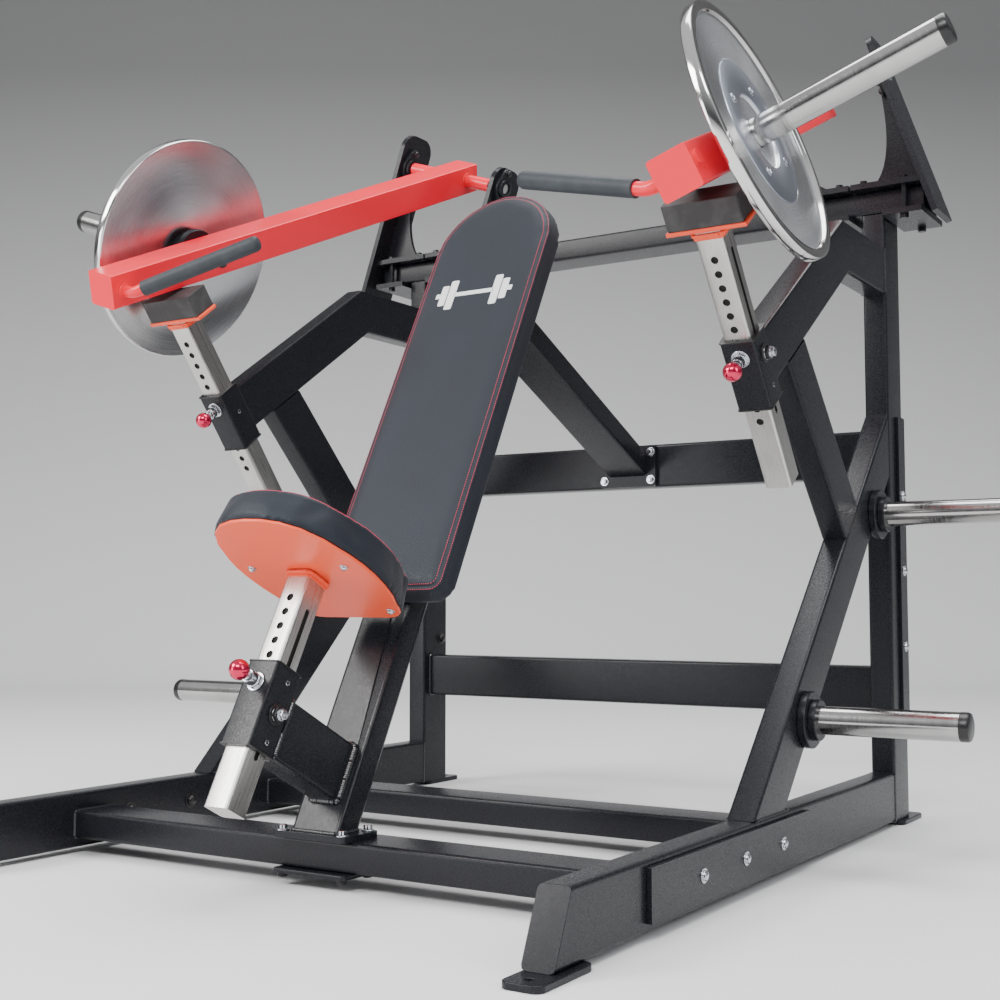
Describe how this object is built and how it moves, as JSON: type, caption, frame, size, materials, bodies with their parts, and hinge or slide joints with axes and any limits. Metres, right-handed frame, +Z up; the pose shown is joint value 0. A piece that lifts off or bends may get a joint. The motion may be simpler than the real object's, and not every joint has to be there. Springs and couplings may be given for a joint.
{
  "type": "plate-loaded incline chest press machine",
  "caption": "Plate-loaded incline chest press: tubular steel frame, leaning padded backrest, adjustable seat and independent press arms that converge as they rise",
  "frame": {"origin": "on the floor under the middle of the whole machine's box", "axes": "+Z up, -Y towards the user's feet and the front of the base, +X the side of the right-hand arm seen from the front; the frame's own centre plane is 3.3 mm towards +X because the left arm rests lower and reaches further out"},
  "size_m": [1.947, 1.615, 1.6689],
  "materials": {
    "black_frame": "textured satin powder coat",
    "red_paint": "satin gloss paint",
    "coral_paint": "fine textured powder coat",
    "stainless": "brushed",
    "polished_steel": "turned and polished",
    "rubber": "matte",
    "vinyl": "fine-grained upholstery vinyl with stitched seams",
    "red_knob": "red anodised, polished"
  },
  "bodies": {
    "frame": {"left_front_foot": "black_frame", "left_rear_foot": "black_frame", "left_base_rail": "black_frame", "left_rear_post": "black_frame", "left_lower_brace": "black_frame", "left_upper_brace": "black_frame", "left_upper_beam": "black_frame", "left_rail_plate": "black_frame", "left_post_plate": "black_frame", "left_lower_storage_horn": "stainless", "left_upper_storage_horn": "stainless", "left_stop_sleeve": "black_frame", "left_outer_bracket": "black_frame", "left_inner_bracket": "black_frame", "left_pivot_shaft": "stainless", "right_front_foot": "black_frame", "right_rear_foot": "black_frame", "right_base_rail": "black_frame", "right_rear_post": "black_frame", "right_lower_brace": "black_frame", "right_upper_brace": "black_frame", "right_upper_beam": "black_frame", "right_rail_plate": "black_frame", "right_post_plate": "black_frame", "right_lower_storage_horn": "stainless", "right_upper_storage_horn": "stainless", "right_stop_sleeve": "black_frame", "right_outer_bracket": "black_frame", "right_inner_bracket": "black_frame", "right_pivot_shaft": "stainless", "front_crossmember": "black_frame", "rear_base_crossmember": "black_frame", "lower_rear_crossmember": "black_frame", "upper_rear_crossmember": "black_frame", "pivot_beam": "black_frame", "backrest_tube": "black_frame", "clamp_plate": "black_frame", "seat_arm": "black_frame", "back_pad": "vinyl", "back_brace": "black_frame"},
    "left_arm": {"left_arm": "red_paint", "left_weight_horn": "polished_steel", "left_grip": "rubber"},
    "left_weight": {"left_weight_plate": "polished_steel"},
    "left_stop": {"left_stop_post": "stainless", "left_stop_plate": "coral_paint", "left_bumper": "rubber"},
    "left_stop_pin": {"left_stop_pin": "red_knob"},
    "right_arm": {"right_arm": "red_paint", "right_weight_horn": "polished_steel", "right_grip": "rubber"},
    "right_weight": {"right_weight_plate": "polished_steel"},
    "right_stop": {"right_stop_post": "stainless", "right_stop_plate": "coral_paint", "right_bumper": "rubber"},
    "right_stop_pin": {"right_stop_pin": "red_knob"},
    "seat": {"seat_post": "stainless", "seat_plate": "coral_paint", "seat_pad": "vinyl"},
    "seat_pin": {"seat_pin": "red_knob"}
  },
  "joints": [
    {"name": "left_press", "type": "hinge", "parent": "frame", "child": "left_arm", "pos_m": [-0.4664, 0.6405, 1.534], "axis": [-0.9455, 0, 0.3256], "range_deg": [0, 45]},
    {"name": "left_weight_load", "type": "slide", "parent": "left_arm", "child": "left_weight", "axis": [-0.9455, 0, 0.3256], "range_m": [0, 0.3]},
    {"name": "left_stop_height", "type": "slide", "parent": "frame", "child": "left_stop", "axis": [0, 0.6074, -0.7944], "range_m": [0, 0.153]},
    {"name": "left_stop_pull", "type": "slide", "parent": "frame", "child": "left_stop_pin", "axis": [0, -0.7944, -0.6074], "range_m": [0, 0.012]},
    {"name": "right_press", "type": "hinge", "parent": "frame", "child": "right_arm", "pos_m": [0.473, 0.6405, 1.534], "axis": [-0.9455, 0, -0.3256], "range_deg": [0, 45]},
    {"name": "right_weight_load", "type": "slide", "parent": "right_arm", "child": "right_weight", "axis": [0.9455, 0, 0.3256], "range_m": [0, 0.3]},
    {"name": "right_stop_height", "type": "slide", "parent": "frame", "child": "right_stop", "axis": [0, 0.6074, -0.7944], "range_m": [0, 0.153]},
    {"name": "right_stop_pull", "type": "slide", "parent": "frame", "child": "right_stop_pin", "axis": [0, -0.7944, -0.6074], "range_m": [0, 0.012]},
    {"name": "seat_height", "type": "slide", "parent": "frame", "child": "seat", "axis": [0, 0.4695, 0.8829], "range_m": [-0.102, 0.0765]},
    {"name": "seat_pull", "type": "slide", "parent": "frame", "child": "seat_pin", "axis": [0, -0.8829, 0.4695], "range_m": [0, 0.012]}
  ]
}
